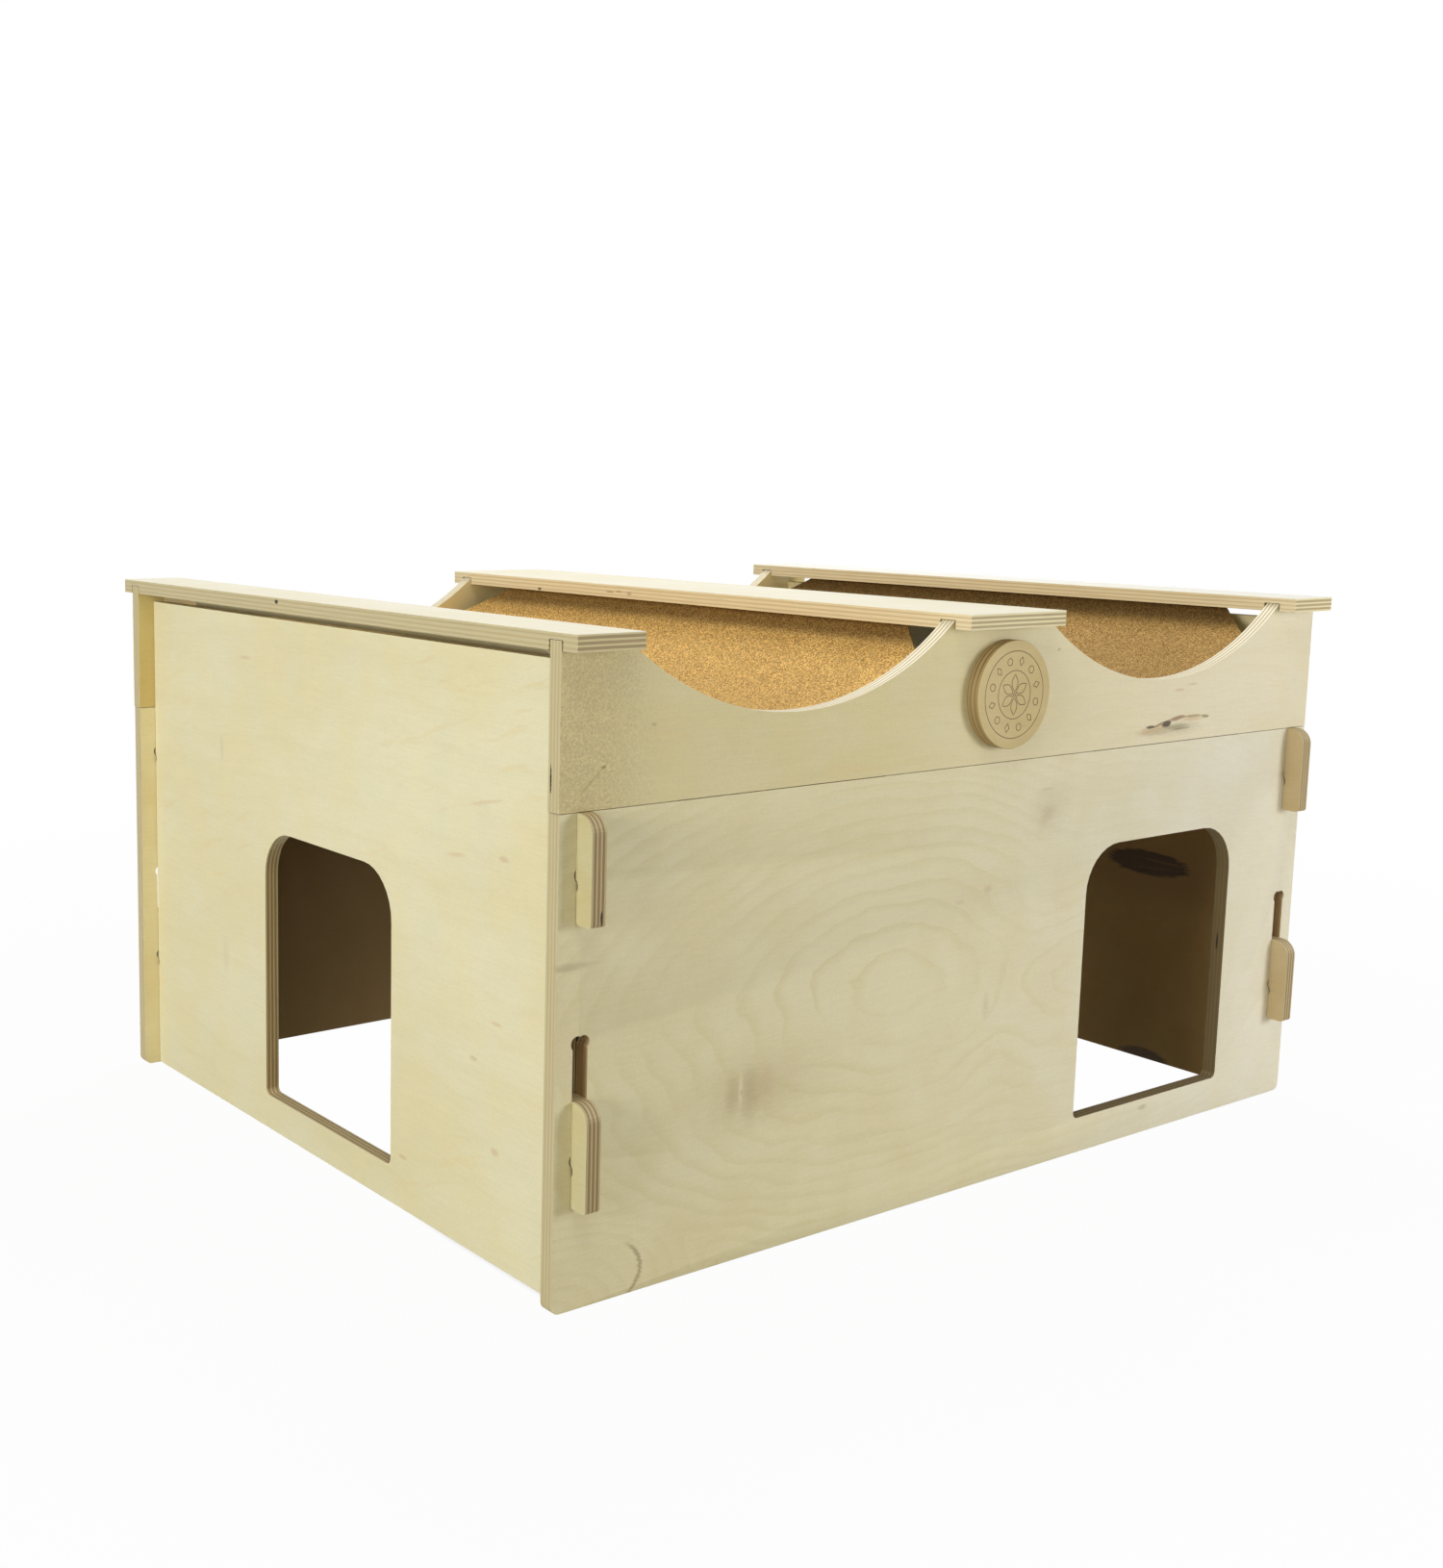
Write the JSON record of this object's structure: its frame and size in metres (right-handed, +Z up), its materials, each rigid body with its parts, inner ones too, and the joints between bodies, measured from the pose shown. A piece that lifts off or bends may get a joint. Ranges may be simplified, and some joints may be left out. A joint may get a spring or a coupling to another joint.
{
  "type": "rabbit house",
  "caption": "Plywood rabbit house with hook-and-slot walls, round-topped door openings and a lift-off roof of cork-lined lounging troughs between flat boards.",
  "frame": {"origin": "on the floor under the middle of the house", "axes": "+Z up, the front with its door faces -Y, the side door faces -X"},
  "size_m": [0.636, 0.512, 0.3437],
  "materials": {
    "birch_wall": "sanded, unpainted birch plywood",
    "birch_side": "sanded, unpainted birch plywood",
    "birch_roof": "sanded, unpainted birch plywood",
    "birch_top": "sanded, unpainted birch plywood",
    "bent_birch": "unpainted bending plywood",
    "cork": "granulated cork",
    "badge_wood": "engraved plywood"
  },
  "bodies": {
    "house": {"front_wall": "birch_wall", "back_wall": "birch_wall"},
    "left_side": {"left_side_wall": "birch_side"},
    "right_side": {"right_side_wall": "birch_side"},
    "roof": {"roof_front_panel": "birch_roof", "roof_back_panel": "birch_roof", "top_board_left": "birch_top", "top_board_middle": "birch_top", "top_board_right": "birch_top", "trough_sheet_left": "bent_birch", "trough_sheet_right": "bent_birch", "cork_mat_left": "cork", "cork_mat_right": "cork", "badge_disc": "badge_wood"}
  },
  "joints": [
    {"name": "left_side_lift", "type": "slide", "parent": "house", "child": "left_side", "axis": [0, 0, 1], "range_m": [0, 0.0315]},
    {"name": "right_side_lift", "type": "slide", "parent": "house", "child": "right_side", "axis": [0, 0, 1], "range_m": [0, 0.0315]},
    {"name": "roof_lift", "type": "slide", "parent": "left_side", "child": "roof", "axis": [0, 0, 1], "range_m": [0, 0.2]}
  ],
  "couplings": [
    {"joint": "right_side_lift", "follows": "left_side_lift", "ratio": 1}
  ]
}
